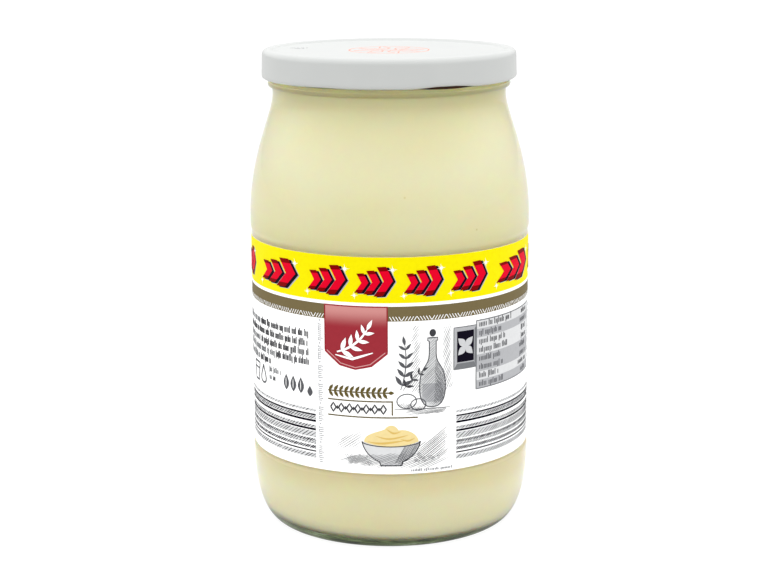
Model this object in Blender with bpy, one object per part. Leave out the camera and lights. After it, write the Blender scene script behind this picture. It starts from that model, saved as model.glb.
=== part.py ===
"""A jar of mayonnaise: a hollow glass jar, its filling, a twist-off lid and a wrap-round label.

Units are metres, +Z is up, and the origin is the middle of the jar's underside.
Every piece is turned about the Z axis from an outline of (radius, height) points.
"""
import math

import bmesh
import bpy

MM = 0.001

# Driving dimensions of the jar
SEGMENTS = 56
TOTAL_HEIGHT = 162.0 * MM
BODY_RADIUS = 47.8 * MM
PANEL_RADIUS = 47.2 * MM
NECK_RADIUS = 39.4 * MM
WALL = 2.7 * MM
FLOOR_THICKNESS = 4.6 * MM
CLEARANCE = 0.3 * MM

# Foot: a flat ring to stand on, round a shallow dome, and a long curved heel
FOOT_OUTER_RADIUS = 39.8 * MM
FOOT_INNER_RADIUS = 35.6 * MM
DOME_RIM_RADIUS = 34.2 * MM
DOME_RIM_HEIGHT = 0.9 * MM
DOME_HEIGHT = 1.5 * MM
HEEL_HEIGHT = 23.0 * MM
INNER_HEEL_RADIUS = 9.0 * MM

# Recessed panel that holds the label, between two contact rings
RING_BOTTOM = 23.6 * MM
RING_TOP = 25.4 * MM
PANEL_BOTTOM = 27.0 * MM
PANEL_TOP = 100.4 * MM
BULGE_RADIUS = 47.65 * MM
BULGE_BOTTOM = 103.2 * MM

# Shoulder: one S-shaped sweep from the bulge to the neck
SHOULDER_BOTTOM = 105.5 * MM
SHOULDER_TOP = 147.0 * MM
SHOULDER_LOWER_PULL = 21.0 * MM
SHOULDER_UPPER_PULL = 6.6 * MM

# Bead under the lid, and the plain mouth inside it
BEAD_RADIUS = 40.9 * MM
BEAD_CENTRE = 150.3 * MM
BEAD_HALF_HEIGHT = 1.4 * MM
MOUTH_RADIUS = 39.9 * MM
MOUTH_EDGE = 1.4 * MM
FILL_LEVEL = 153.5 * MM

# Twist-off lid
LID_RADIUS = 42.95 * MM
LID_TOP_RADIUS = 42.75 * MM
LID_BOTTOM = 152.3 * MM
LID_SHEET = 0.5 * MM
LID_EDGE = 1.4 * MM
LID_CURL = 1.1 * MM
LID_RIM_INNER_RADIUS = 39.6 * MM
LID_PANEL_RADIUS = 38.6 * MM
LID_PANEL_DROP = 0.75 * MM

# Paper label
LABEL_BOTTOM = 27.5 * MM
LABEL_TOP = 99.65 * MM
LABEL_THICKNESS = 0.2 * MM


def arc(centre, radii, start, end, steps):
    """Points on an ellipse arc from start to end degrees, both ends included."""
    points = []
    for step in range(steps + 1):
        angle = math.radians(start + (end - start) * step / steps)
        radius = centre[0] + radii[0] * math.cos(angle)
        height = centre[1] + radii[1] * math.sin(angle)
        points.append((radius, height))
    return points


def bezier(points, steps):
    """Points on a cubic Bezier curve, both ends included."""
    curve = []
    for step in range(steps + 1):
        t = step / steps
        weights = ((1 - t) ** 3, 3 * t * (1 - t) ** 2, 3 * t * t * (1 - t), t ** 3)
        radius = sum(weight * point[0] for weight, point in zip(weights, points))
        height = sum(weight * point[1] for weight, point in zip(weights, points))
        curve.append((radius, height))
    return curve


def ease(start, end, steps):
    """An S-shaped step between two points whose tangents are both vertical."""
    middle = (start[1] + end[1]) / 2
    return bezier((start, (start[0], middle), (end[0], middle), end), steps)


def shoulder(inset, steps):
    """The shoulder from the bulge up to the neck, moved in by an inset."""
    wide = BULGE_RADIUS - inset
    narrow = NECK_RADIUS - inset
    return bezier(
        (
            (wide, SHOULDER_BOTTOM),
            (wide, SHOULDER_BOTTOM + SHOULDER_LOWER_PULL),
            (narrow, SHOULDER_TOP - SHOULDER_UPPER_PULL),
            (narrow, SHOULDER_TOP),
        ),
        steps,
    )


def outside_of_glass():
    """The outer face from the middle of the underside up to the mouth's inner edge."""
    rim = TOTAL_HEIGHT - LID_PANEL_DROP - LID_SHEET - CLEARANCE
    bead = (MOUTH_RADIUS, BEAD_CENTRE)
    mouth_inner = NECK_RADIUS - WALL
    outline = [(0.0, DOME_HEIGHT)]
    outline.append((DOME_RIM_RADIUS, DOME_RIM_HEIGHT))
    outline.append((FOOT_INNER_RADIUS, 0.0))
    heel_reach = BODY_RADIUS - 0.1 * MM - FOOT_OUTER_RADIUS
    outline += arc((FOOT_OUTER_RADIUS, HEEL_HEIGHT), (heel_reach, HEEL_HEIGHT), -90, 0, 8)
    outline += [(BODY_RADIUS, RING_BOTTOM + 0.4 * MM)]
    outline += ease((BODY_RADIUS, RING_TOP), (PANEL_RADIUS, PANEL_BOTTOM), 3)
    outline += ease((PANEL_RADIUS, PANEL_TOP), (BULGE_RADIUS, BULGE_BOTTOM), 3)
    outline += shoulder(0.0, 9)
    outline.append((NECK_RADIUS, BEAD_CENTRE - 1.3 * BEAD_HALF_HEIGHT))
    outline += arc(bead, (BEAD_RADIUS - MOUTH_RADIUS, BEAD_HALF_HEIGHT), -90, 90, 5)
    outline += arc((MOUTH_RADIUS - MOUTH_EDGE, rim - MOUTH_EDGE), (MOUTH_EDGE, MOUTH_EDGE), 0, 90, 3)
    outline += arc((mouth_inner + MOUTH_EDGE, rim - MOUTH_EDGE), (MOUTH_EDGE, MOUTH_EDGE), 90, 180, 3)
    return outline


def inside_of_glass(inset, floor):
    """The inner wall from the neck down to the middle of the floor, moved in by an inset."""
    wall = WALL + inset
    outline = list(reversed(shoulder(wall, 7)))
    side = BULGE_RADIUS - wall
    heel = INNER_HEEL_RADIUS
    outline += arc((side - heel, floor + heel), (heel, heel), 0, -90, 4)
    outline.append((0.0, floor))
    return outline


def glass_outline():
    return outside_of_glass() + inside_of_glass(0.0, FLOOR_THICKNESS)


def filling_outline():
    """The filling follows the inner wall with a clearance, up to a flat level."""
    surface = [(0.0, FILL_LEVEL), (NECK_RADIUS - WALL - CLEARANCE, FILL_LEVEL)]
    return surface + inside_of_glass(CLEARANCE, FLOOR_THICKNESS + CLEARANCE)


def lid_outline():
    """A thin pressed shell with a raised rim, a sunk panel and a curled lower edge."""
    top = TOTAL_HEIGHT
    panel = top - LID_PANEL_DROP
    curl_radius = LID_RADIUS - LID_CURL
    curl_height = LID_BOTTOM + LID_CURL
    inner_edge = LID_EDGE - LID_SHEET
    edge_centre = (LID_TOP_RADIUS - LID_EDGE, top - LID_EDGE)
    outline = [(0.0, panel), (LID_PANEL_RADIUS, panel), (LID_RIM_INNER_RADIUS, top)]
    outline += arc(edge_centre, (LID_EDGE, LID_EDGE), 90, 0, 4)
    outline += arc((curl_radius, curl_height), (LID_CURL, LID_CURL), 0, -180, 6)
    outline.append((curl_radius - LID_CURL, curl_height + 0.4 * MM))
    outline.append((LID_RADIUS - LID_SHEET, curl_height + LID_CURL))
    outline += arc(edge_centre, (inner_edge, inner_edge), 0, 90, 3)
    outline.append((LID_RIM_INNER_RADIUS + 0.2 * MM, top - LID_SHEET))
    outline.append((LID_PANEL_RADIUS + 0.2 * MM, panel - LID_SHEET))
    outline.append((0.0, panel - LID_SHEET))
    return outline


def label_outline():
    inner = PANEL_RADIUS + CLEARANCE
    outer = inner + LABEL_THICKNESS
    return [(inner, LABEL_BOTTOM), (outer, LABEL_BOTTOM), (outer, LABEL_TOP), (inner, LABEL_TOP)]


def material(name, colour, roughness, metallic=0.0, transmission=0.0):
    shader = bpy.data.materials.new(name)
    shader.use_nodes = True
    principled = shader.node_tree.nodes["Principled BSDF"]
    principled.inputs["Base Color"].default_value = (*colour, 1.0)
    principled.inputs["Roughness"].default_value = roughness
    principled.inputs["Metallic"].default_value = metallic
    principled.inputs["Transmission Weight"].default_value = transmission
    return shader


def turned_solid(name, outline, shader, closed_loop=False):
    """Turn an outline about Z. Points on the axis become one shared vertex."""
    form = bmesh.new()
    rings = []
    for radius, height in outline:
        if radius == 0.0:
            rings.append([form.verts.new((0.0, 0.0, height))] * SEGMENTS)
            continue
        ring = []
        for segment in range(SEGMENTS):
            angle = 2 * math.pi * segment / SEGMENTS
            ring.append(form.verts.new((radius * math.cos(angle), radius * math.sin(angle), height)))
        rings.append(ring)
    pairs = list(zip(rings, rings[1:]))
    if closed_loop:
        pairs.append((rings[-1], rings[0]))
    for lower, upper in pairs:
        for segment in range(SEGMENTS):
            following = (segment + 1) % SEGMENTS
            corners = (lower[segment], lower[following], upper[following], upper[segment])
            form.faces.new(tuple(dict.fromkeys(corners)))
    bmesh.ops.recalc_face_normals(form, faces=form.faces)
    mesh = bpy.data.meshes.new(name)
    form.to_mesh(mesh)
    form.free()
    mesh.shade_smooth()
    mesh.set_sharp_from_angle(angle=math.radians(35))
    mesh.materials.append(shader)
    piece = bpy.data.objects.new(name, mesh)
    bpy.context.scene.collection.objects.link(piece)
    return piece


def build():
    for old in list(bpy.data.objects):
        bpy.data.objects.remove(old, do_unlink=True)
    glass = material("green_tinted_glass", (0.72, 0.80, 0.66), 0.03, transmission=1.0)
    cream = material("pale_cream", (0.80, 0.74, 0.45), 0.35)
    enamel = material("white_enamel", (0.80, 0.80, 0.77), 0.25)
    paper = material("yellow_paper", (1.0, 0.88, 0.0), 0.45)
    turned_solid("glass_jar", glass_outline(), glass)
    turned_solid("mayonnaise", filling_outline(), cream)
    turned_solid("lid", lid_outline(), enamel)
    turned_solid("label", label_outline(), paper, closed_loop=True)


build()
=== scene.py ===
"""The looks of a jar of mayonnaise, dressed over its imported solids.

The glass, the filling, the lid and the label each replace their plain solid. The label's
print is drawn on a flat plan in millimetres and wrapped round the jar, one thin piece for
each ink. Angles round the jar are measured from the front, -Y, towards +X.
"""
import math
import random

import bmesh
import bpy
from mathutils import Matrix, Vector
from mathutils.geometry import tessellate_polygon


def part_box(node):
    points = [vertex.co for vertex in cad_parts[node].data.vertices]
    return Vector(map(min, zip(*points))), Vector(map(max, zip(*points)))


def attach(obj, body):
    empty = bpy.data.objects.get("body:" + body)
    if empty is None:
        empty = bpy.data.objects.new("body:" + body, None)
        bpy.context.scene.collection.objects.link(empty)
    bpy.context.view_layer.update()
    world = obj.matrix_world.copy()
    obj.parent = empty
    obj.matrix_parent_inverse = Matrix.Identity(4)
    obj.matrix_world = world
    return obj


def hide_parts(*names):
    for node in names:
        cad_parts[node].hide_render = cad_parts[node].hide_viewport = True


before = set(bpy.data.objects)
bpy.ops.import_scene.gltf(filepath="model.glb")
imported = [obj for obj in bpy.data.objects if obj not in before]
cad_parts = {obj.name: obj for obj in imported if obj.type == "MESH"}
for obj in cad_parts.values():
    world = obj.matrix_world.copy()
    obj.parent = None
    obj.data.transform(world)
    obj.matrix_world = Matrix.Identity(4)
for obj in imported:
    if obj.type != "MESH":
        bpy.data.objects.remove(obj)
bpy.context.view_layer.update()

MM = 0.001
TURN = 2 * math.pi

# Places read from the frame
GLASS_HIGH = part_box("glass_jar")[1]
LID_LOW, LID_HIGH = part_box("lid")
LABEL_LOW, LABEL_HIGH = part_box("label")
FILL_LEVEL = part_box("mayonnaise")[1].z
BODY_RADIUS = GLASS_HIGH.x
RIM_HEIGHT = GLASS_HIGH.z
LID_TOP = LID_HIGH.z
LID_BOTTOM = LID_LOW.z
LID_RADIUS = LID_HIGH.x
LABEL_BOTTOM = LABEL_LOW.z
LABEL_HEIGHT_MM = (LABEL_HIGH.z - LABEL_LOW.z) / MM

# Glass, with a thinner floor and a tighter inner heel than in the solids
GLASS_SEGMENTS = 192
PANEL_RADIUS = 47.2 * MM
NECK_RADIUS = 39.4 * MM
WALL = 2.7 * MM
FLOOR_THICKNESS = 3.4 * MM
FOOT_OUTER_RADIUS = 39.8 * MM
FOOT_INNER_RADIUS = 35.6 * MM
DOME_RIM_RADIUS = 34.2 * MM
DOME_RIM_HEIGHT = 0.9 * MM
DOME_HEIGHT = 1.5 * MM
HEEL_HEIGHT = 23.0 * MM
HEEL_INSET = 0.1 * MM
INNER_HEEL_RADIUS = 5.0 * MM
RING_BOTTOM = 23.6 * MM
RING_TOP = 25.4 * MM
PANEL_BOTTOM = 27.0 * MM
PANEL_TOP = 100.4 * MM
BULGE_RADIUS = 47.65 * MM
BULGE_BOTTOM = 103.2 * MM
SHOULDER_BOTTOM = 105.5 * MM
SHOULDER_TOP = 147.0 * MM
SHOULDER_LOWER_PULL = 21.0 * MM
SHOULDER_UPPER_PULL = 6.6 * MM
BEAD_RADIUS = 40.9 * MM
BEAD_CENTRE = 150.6 * MM
BEAD_HALF_HEIGHT = 1.15 * MM
MOUTH_RADIUS = 39.9 * MM
MOUTH_EDGE = 1.4 * MM
FLOOR_LEAN = 0.02
LEAN_HEIGHT = 25.0 * MM
SEAM_ANGLE = math.radians(-23.8)
SEAM_WIDTH = 0.35 * MM
SEAM_RISE = 0.09 * MM
WAVE_RISE = 0.02 * MM
RIPPLE_RISE = 0.012 * MM
RIPPLE_BOTTOM = 136 * MM
RIPPLE_FADE = 8 * MM
FILLING_OVERLAP = 0.05 * MM

# Lid
LID_SEGMENTS = 240
LID_SHEET = 0.4 * MM
LID_EDGE = 1.9 * MM
LID_CURL = 1.1 * MM
LID_TAPER = 0.2 * MM
LID_RIM_INNER_RADIUS = 39.6 * MM
LID_PANEL_RADIUS = 38.6 * MM
LID_PANEL_DROP = 0.75 * MM
LUG_COUNT = 6
LUG_ANGLE = math.radians(26.0)
LUG_HALF_WIDTH = math.radians(18.0)
LUG_RISE = 0.6 * MM
LUG_DROP = 0.3 * MM
LUG_UNEVEN = 1.0
LUG_REACH = 0.9 * MM
LUG_FADE_TOP = 3.2 * MM
LUG_FADE = 2.6 * MM
LUG_INNER_FADE = 0.8 * MM
LUG_DEPTH_MM = 0.5
LUG_EXTRA_DEPTH_MM = 0.35
LUG_HEIGHT_MM = 0.3
LUG_EXTRA_HEIGHT_MM = 1.4
PANEL_UNEVEN = 0.05 * MM
LACQUER_INSET = 0.55 * MM
LACQUER_RISE = 2.2 * MM
LACQUER_UNDER_RISE = 3.0 * MM
LACQUER_DROP = 1.5 * MM

# Label paper, wrapped on the glass panel, with its overlap at the back
PAPER_RADIUS_MM = 47.42
PAPER_THICKNESS = 0.16 * MM
LABEL_FACING = math.radians(-1.7)
PAPER_STATIONS = 180
OVERLAP_ANGLE = math.radians(8.5)
OVERLAP_RAMP = math.radians(0.8)
OVERLAP_EDGE = math.radians(0.03)
OVERLAP_RISE = 0.1 * MM
INK_STEP = 0.03 * MM
INK_THICKNESS = 0.025 * MM
LID_INK_THICKNESS = 0.02 * MM
LID_INK_RISE = 0.012 * MM
HALF_ROUND_MM = math.pi * PAPER_RADIUS_MM


def smooth(value):
    """A smooth step from 0 to 1."""
    value = min(max(value, 0.0), 1.0)
    return value * value * (3 - 2 * value)


def between(start, end, share):
    """The point at this share of the way from one point to another."""
    return (start[0] + (end[0] - start[0]) * share, start[1] + (end[1] - start[1]) * share)


def around(radius, angle, height):
    return Vector((radius * math.sin(angle), -radius * math.cos(angle), height))


def ellipse(u, h, ru, rh, steps, first, last):
    """Points round an ellipse, from one of its steps up to another."""
    angles = [TURN * step / steps for step in range(first, last)]
    return [(u + ru * math.cos(angle), h + rh * math.sin(angle)) for angle in angles]


# Outlines of (radius, height) points, close to those of the solids but finer

def arc(centre, radii, start, end, steps):
    points = []
    for step in range(steps + 1):
        angle = math.radians(start + (end - start) * step / steps)
        place = (centre[0] + radii[0] * math.cos(angle), centre[1] + radii[1] * math.sin(angle))
        points.append(place)
    return points


def bezier(points, steps):
    curve = []
    for step in range(steps + 1):
        t = step / steps
        weights = ((1 - t) ** 3, 3 * t * (1 - t) ** 2, 3 * t * t * (1 - t), t ** 3)
        curve.append(tuple(sum(w * point[axis] for w, point in zip(weights, points)) for axis in (0, 1)))
    return curve


def straight(start, end, steps):
    """Points between two others, without the ends."""
    return [between(start, end, step / steps) for step in range(1, steps)]


def ease(start, end, steps):
    middle = (start[1] + end[1]) / 2
    return bezier((start, (start[0], middle), (end[0], middle), end), steps)


def shoulder(inset, steps):
    wide = BULGE_RADIUS - inset
    narrow = NECK_RADIUS - inset
    low_pull = SHOULDER_BOTTOM + SHOULDER_LOWER_PULL
    high_pull = SHOULDER_TOP - SHOULDER_UPPER_PULL
    corners = ((wide, SHOULDER_BOTTOM), (wide, low_pull), (narrow, high_pull), (narrow, SHOULDER_TOP))
    return bezier(corners, steps)


def outside_of_glass():
    dome = (DOME_RIM_RADIUS, DOME_HEIGHT - DOME_RIM_HEIGHT)
    heel_radius = BODY_RADIUS - HEEL_INSET
    heel = (heel_radius - FOOT_OUTER_RADIUS, HEEL_HEIGHT)
    neck_end = (NECK_RADIUS + 0.1 * MM, BEAD_CENTRE - BEAD_HALF_HEIGHT - 0.3 * MM)
    bead = (BEAD_RADIUS - MOUTH_RADIUS, BEAD_HALF_HEIGHT)
    bead_top = (MOUTH_RADIUS, BEAD_CENTRE + BEAD_HALF_HEIGHT)
    edge_height = RIM_HEIGHT - MOUTH_EDGE
    edge = (MOUTH_EDGE, MOUTH_EDGE)
    outline = [(0.0, DOME_HEIGHT)]
    outline += arc((0.0, DOME_RIM_HEIGHT), dome, 86, 8, 8)
    outline += ease((DOME_RIM_RADIUS, DOME_RIM_HEIGHT), (FOOT_INNER_RADIUS, 0.0), 5)
    outline += straight((FOOT_INNER_RADIUS, 0.0), (FOOT_OUTER_RADIUS, 0.0), 4)
    outline += arc((FOOT_OUTER_RADIUS, HEEL_HEIGHT), heel, -90, 0, 26)
    outline += ease((heel_radius, HEEL_HEIGHT + 0.2 * MM), (BODY_RADIUS, RING_BOTTOM + 0.7 * MM), 3)
    outline += ease((BODY_RADIUS, RING_TOP), (PANEL_RADIUS, PANEL_BOTTOM), 8)
    outline += straight((PANEL_RADIUS, PANEL_BOTTOM), (PANEL_RADIUS, PANEL_TOP), 12)
    outline += ease((PANEL_RADIUS, PANEL_TOP), (BULGE_RADIUS, BULGE_BOTTOM), 8)
    outline += shoulder(0.0, 36)
    outline += ease((NECK_RADIUS, SHOULDER_TOP + 0.5 * MM), neck_end, 3)
    outline += arc((MOUTH_RADIUS, BEAD_CENTRE), bead, -90, 90, 12)
    outline += straight(bead_top, (MOUTH_RADIUS, edge_height), 5)
    outline += arc((MOUTH_RADIUS - MOUTH_EDGE, edge_height), edge, 0, 90, 6)
    outline += arc((NECK_RADIUS - WALL + MOUTH_EDGE, edge_height), edge, 90, 180, 6)
    return outline


def inside_of_glass(outward):
    """The inner wall from the neck down to the middle of the floor, moved into the glass."""
    wall = WALL - outward
    floor = FLOOR_THICKNESS - outward
    outline = list(reversed(shoulder(wall, 30)))
    side = BULGE_RADIUS - wall
    heel = INNER_HEEL_RADIUS
    outline += straight((side, SHOULDER_BOTTOM), (side, floor + heel), 14)
    outline += arc((side - heel, floor + heel), (heel, heel), 0, -90, 16)
    outline += straight((side - heel, floor), (0.0, floor), 8)
    outline.append((0.0, floor))
    return outline


def lid_outline():
    panel = LID_TOP - LID_PANEL_DROP
    curl_radius = LID_RADIUS - LID_CURL
    curl_height = LID_BOTTOM + LID_CURL
    inner_edge = LID_EDGE - LID_SHEET
    edge_centre = (LID_RADIUS - LID_TAPER - LID_EDGE, LID_TOP - LID_EDGE)
    outline = [(0.0, panel)]
    outline += straight((0.0, panel), (LID_PANEL_RADIUS, panel), 12)
    outline += bezier(
        (
            (LID_PANEL_RADIUS - 0.5 * MM, panel),
            (LID_PANEL_RADIUS + 0.3 * MM, panel),
            (LID_RIM_INNER_RADIUS - 0.4 * MM, LID_TOP),
            (LID_RIM_INNER_RADIUS + 0.4 * MM, LID_TOP),
        ),
        8,
    )
    outline += arc(edge_centre, (LID_EDGE, LID_EDGE), 90, 0, 10)
    skirt_top = (LID_RADIUS - LID_TAPER, LID_TOP - LID_EDGE)
    outline += straight(skirt_top, (LID_RADIUS, curl_height), 8)
    outline += arc((curl_radius, curl_height), (LID_CURL, LID_CURL), 0, -200, 16)
    outline.append((LID_RADIUS - LID_SHEET, curl_height + LID_CURL))
    outline += arc(edge_centre, (inner_edge, inner_edge), 0, 90, 6)
    outline.append((LID_RIM_INNER_RADIUS + 0.2 * MM, LID_TOP - LID_SHEET))
    outline.append((LID_PANEL_RADIUS + 0.2 * MM, panel - LID_SHEET))
    outline.append((0.0, panel - LID_SHEET))
    return outline


# Small changes of form, each from (radius, angle, height) to a new radius and height

def glass_form(radius, angle, height):
    """Slow waves of blown glass and the mould's seam."""
    if radius == 0.0:
        return radius, height
    wave = WAVE_RISE * math.sin(3 * angle + 0.8 + height * 60) * math.sin(2 * angle + height * 95)
    ripple = RIPPLE_RISE * math.sin(height * 2600) * smooth((height - RIPPLE_BOTTOM) / RIPPLE_FADE)
    seam_distance = abs(math.sin(angle - SEAM_ANGLE)) * radius
    seam = SEAM_RISE * max(0.0, 1 - (seam_distance / SEAM_WIDTH) ** 2)
    if height < HEEL_HEIGHT or radius < PANEL_RADIUS - 9 * MM or PANEL_BOTTOM < height < PANEL_TOP:
        seam = 0.0
    return radius + min(wave + ripple + seam, BODY_RADIUS - radius), height


def leaning_form(radius, angle, height):
    lean = FLOOR_LEAN * (1 - smooth(height / LEAN_HEIGHT))
    return radius, height - lean * radius * math.sin(angle)


def lug_share(angle):
    """How far the lid's edge stands off its lugs here: most at the first of them."""
    return 1 - LUG_UNEVEN * (1 - math.cos((angle - LUG_ANGLE) / 2) ** 12)


def lid_form(radius, angle, height):
    """The skirt's lower edge lifts and turns in at the six lugs; the panel is faintly uneven."""
    step = TURN / LUG_COUNT
    from_lug = (angle - LUG_ANGLE + step / 2) % step - step / 2
    lug = smooth(1.25 - 1.25 * abs(from_lug) / LUG_HALF_WIDTH) * lug_share(angle)
    low = smooth((LID_BOTTOM + LUG_FADE_TOP - height) / LUG_FADE)
    inner = smooth((LID_RADIUS - LID_CURL - radius) / LUG_INNER_FADE) * low
    height += LUG_RISE * lug * low
    radius -= LUG_REACH * lug * inner
    if radius < LID_PANEL_RADIUS:
        height += PANEL_UNEVEN * math.sin(2 * angle + 0.6) * smooth(radius / LID_PANEL_RADIUS)
    return radius, height


def turned(name, parts, segments):
    """A mesh turned about Z from outlines and their forms, with single vertices on the axis."""
    shape = bmesh.new()
    rings = []
    for outline, form in parts:
        for radius, height in outline:
            if radius == 0.0:
                rings.append([shape.verts.new((0.0, 0.0, height))] * segments)
                continue
            ring = []
            for segment in range(segments):
                angle = TURN * segment / segments
                formed_radius, formed_height = form(radius, angle, height)
                ring.append(shape.verts.new(around(formed_radius, angle, formed_height)))
            rings.append(ring)
    for lower, upper in zip(rings, rings[1:]):
        for segment in range(segments):
            following = (segment + 1) % segments
            corners = (lower[segment], lower[following], upper[following], upper[segment])
            shape.faces.new(tuple(dict.fromkeys(corners)))
    bmesh.ops.recalc_face_normals(shape, faces=shape.faces)
    return finish_mesh(name, shape)


def finish_mesh(name, shape, sharp_angle=40):
    mesh = bpy.data.meshes.new(name)
    shape.to_mesh(mesh)
    shape.free()
    mesh.shade_smooth()
    mesh.set_sharp_from_angle(angle=math.radians(sharp_angle))
    piece = bpy.data.objects.new(name, mesh)
    bpy.context.scene.collection.objects.link(piece)
    return piece


def ribbon(points, width, taper=0.0):
    """Pairs of points on both sides of a line; taper from 0 to 1 thins its ends."""
    last = len(points) - 1
    pairs = []
    for index, (u, h) in enumerate(points):
        before = points[max(index - 1, 0)]
        after = points[min(index + 1, last)]
        run = (after[0] - before[0], after[1] - before[1])
        length = math.hypot(*run) or 1.0
        half = width / 2 * (1 - taper * (2 * index / last - 1) ** 2)
        side = (-run[1] / length * half, run[0] / length * half)
        pairs.append(((u + side[0], h + side[1]), (u - side[0], h - side[1])))
    return pairs


def add_ribbon(shape, pairs, place):
    """Faces from each pair of flat points to the next, put where place says."""
    made = [[shape.verts.new(place(*point)) for point in pair] for pair in pairs]
    for (a, b), (c, d) in zip(made, made[1:]):
        shape.faces.new((a, b, d, c))


def add_sweep(shape, loops):
    """Faces from each loop of four corners to the next."""
    for loop, following in zip(loops, loops[1:]):
        for index in range(4):
            after = (index + 1) % 4
            shape.faces.new((loop[index], following[index], following[after], loop[after]))


def thicken(shape, thickness):
    """Flat level shapes become thin closed ones that reach down by their thickness."""
    faces = shape.faces[:]
    loops = [loop for face in faces for loop in face.loops if loop.edge.is_boundary]
    rim = [(loop.vert, loop.link_loop_next.vert) for loop in loops]
    drop = Vector((0.0, 0.0, thickness))
    lower = {vertex: shape.verts.new(vertex.co - drop) for vertex in shape.verts[:]}
    for face in faces:
        shape.faces.new([lower[vertex] for vertex in reversed(face.verts)])
    for first, second in rim:
        shape.faces.new((second, first, lower[first], lower[second]))
    bmesh.ops.recalc_face_normals(shape, faces=shape.faces)


# Materials

STUDIO_LIGHT = 1.29
PRINT_GLOSS = 0.009


def linear(red, green, blue):
    """An 8-bit screen colour as linear values, with full alpha."""
    values = []
    for channel in (red, green, blue):
        share = channel / 255
        values.append(share / 12.92 if share <= 0.04045 else ((share + 0.055) / 1.055) ** 2.4)
    return (*values, 1.0)


def grey(level):
    return (level, level, level, 1.0)


class Nodes:
    """A node tree whose nodes are added one by one."""

    def __init__(self, tree):
        self.tree = tree

    def node(self, kind, inputs=None, **settings):
        made = self.tree.nodes.new(kind)
        for key, value in settings.items():
            setattr(made, key, value)
        for socket, value in (inputs or {}).items():
            if isinstance(value, bpy.types.NodeSocket):
                self.tree.links.new(value, made.inputs[socket])
            else:
                made.inputs[socket].default_value = value
        return made

    def ramp(self, factor, stops, interpolation="LINEAR"):
        made = self.node("ShaderNodeValToRGB", {"Fac": factor})
        made.color_ramp.interpolation = interpolation
        elements = made.color_ramp.elements
        while len(elements) < len(stops):
            elements.new(0.5)
        for element, (position, colour) in zip(elements, stops):
            element.position = position
            element.color = colour
        return made.outputs["Color"]

    def share(self, value, low, high, interpolation="LINEAR"):
        """How far a value is on its way from one limit to the other, from 0 to 1."""
        limits = {"Value": value, "From Min": low, "From Max": high}
        return self.node("ShaderNodeMapRange", limits, interpolation_type=interpolation).outputs[0]

    def calculate(self, operation, *values):
        return self.node("ShaderNodeMath", dict(enumerate(values)), operation=operation).outputs[0]


class Shader(Nodes):
    """A Principled material, with ready-made noise, tones and relief."""

    def __init__(self, name, **inputs):
        self.material = bpy.data.materials.new(name)
        self.material.use_nodes = True
        super().__init__(self.material.node_tree)
        self.principled = self.tree.nodes["Principled BSDF"]
        self.output = self.tree.nodes["Material Output"]
        for socket, value in inputs.items():
            self.principled.inputs[socket.replace("_", " ")].default_value = value
        self.place = self.node("ShaderNodeTexCoord").outputs["Object"]

    def link(self, source, socket):
        self.tree.links.new(source, self.principled.inputs[socket])

    def noise(self, scale, detail=3.0, roughness=0.5, stretch=None):
        place = self.place
        if stretch:
            mapping = self.node("ShaderNodeMapping", {"Vector": place, "Scale": stretch})
            place = mapping.outputs["Vector"]
        inputs = {"Vector": place, "Scale": scale, "Detail": detail, "Roughness": roughness}
        return self.node("ShaderNodeTexNoise", inputs).outputs["Fac"]

    def uneven(self, scale, detail, dark, light):
        """A tone that wanders between two colours."""
        return self.ramp(self.noise(scale, detail), ((0.3, dark), (0.7, light)))

    def specks(self, scale, size, soft_size, noise_scale, rare, rarer):
        """A mask of small round specks, of which a noise keeps a few."""
        cells = self.node("ShaderNodeTexVoronoi", {"Vector": self.place, "Scale": scale})
        speck = self.ramp(cells.outputs["Distance"], ((size, grey(1)), (soft_size, grey(0))))
        chosen = self.ramp(self.noise(noise_scale, 0.0), ((rare, grey(0)), (rarer, grey(1))))
        return self.calculate("MULTIPLY", speck, chosen)

    def mix(self, factor, first, second, blend="MIX"):
        made = self.node("ShaderNodeMix", data_type="RGBA", blend_type=blend)
        for socket, value in (("Factor", factor), ("A", first), ("B", second)):
            target = next(s for s in made.inputs if s.name == socket and s.enabled)
            if isinstance(value, bpy.types.NodeSocket):
                self.tree.links.new(value, target)
            else:
                target.default_value = value
        return next(s for s in made.outputs if s.enabled)

    def bump(self, height, distance, strength=1.0):
        inputs = {"Height": height, "Distance": distance, "Strength": strength}
        self.link(self.node("ShaderNodeBump", inputs).outputs["Normal"], "Normal")


# Tints of the glass by height in millimetres, mostly painted shade: darker at the foot's upper edge, below
# and above the label, under the lid and in bands on the bead
GLASS_TINTS_AND_SHADE = (
    (3.18, (0.14, 0.10, 0.04)),
    (3.28, (0.40, 0.33, 0.16)),
    (3.37, (1.0, 0.98, 0.92)),
    (8.0, (0.98, 0.96, 0.90)),
    (18.0, (0.98, 0.97, 0.93)),
    (24.0, (0.97, 0.93, 0.80)),
    (28.0, (0.96, 0.90, 0.74)),
    (99.5, (1.0, 0.95, 0.72)),
    (103.0, (1.0, 0.97, 0.82)),
    (109.0, (1.0, 1.0, 0.93)),
    (128.0, (1.0, 1.0, 0.98)),
    (141.0, (1.0, 0.99, 0.88)),
    (148.8, (1.0, 0.96, 0.77)),
    (149.2, (0.98, 0.92, 0.70)),
    (149.5, (0.66, 0.62, 0.44)),
    (149.8, (0.80, 0.73, 0.42)),
    (150.9, (0.90, 0.84, 0.52)),
    (151.4, (1.0, 1.0, 0.72)),
    (152.0, (1.0, 0.98, 0.68)),
    (152.7, (0.60, 0.55, 0.33)),
)
FOOT_BAND = 3.05 * MM
FOOT_EDGE = 0.12 * MM
FOOT_CLEARNESS = 0.35
# The foot's streaks: the glass's own dark green, deepened by painted shade where the jar stands on the table
FOOT_GREEN_AND_SHADE_TONES = (
    (0.38, (0.015, 0.03, 0.008)),
    (0.47, (0.085, 0.125, 0.035)),
    (0.56, (0.17, 0.235, 0.09)),
    (0.66, (0.38, 0.47, 0.28)),
)
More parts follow.
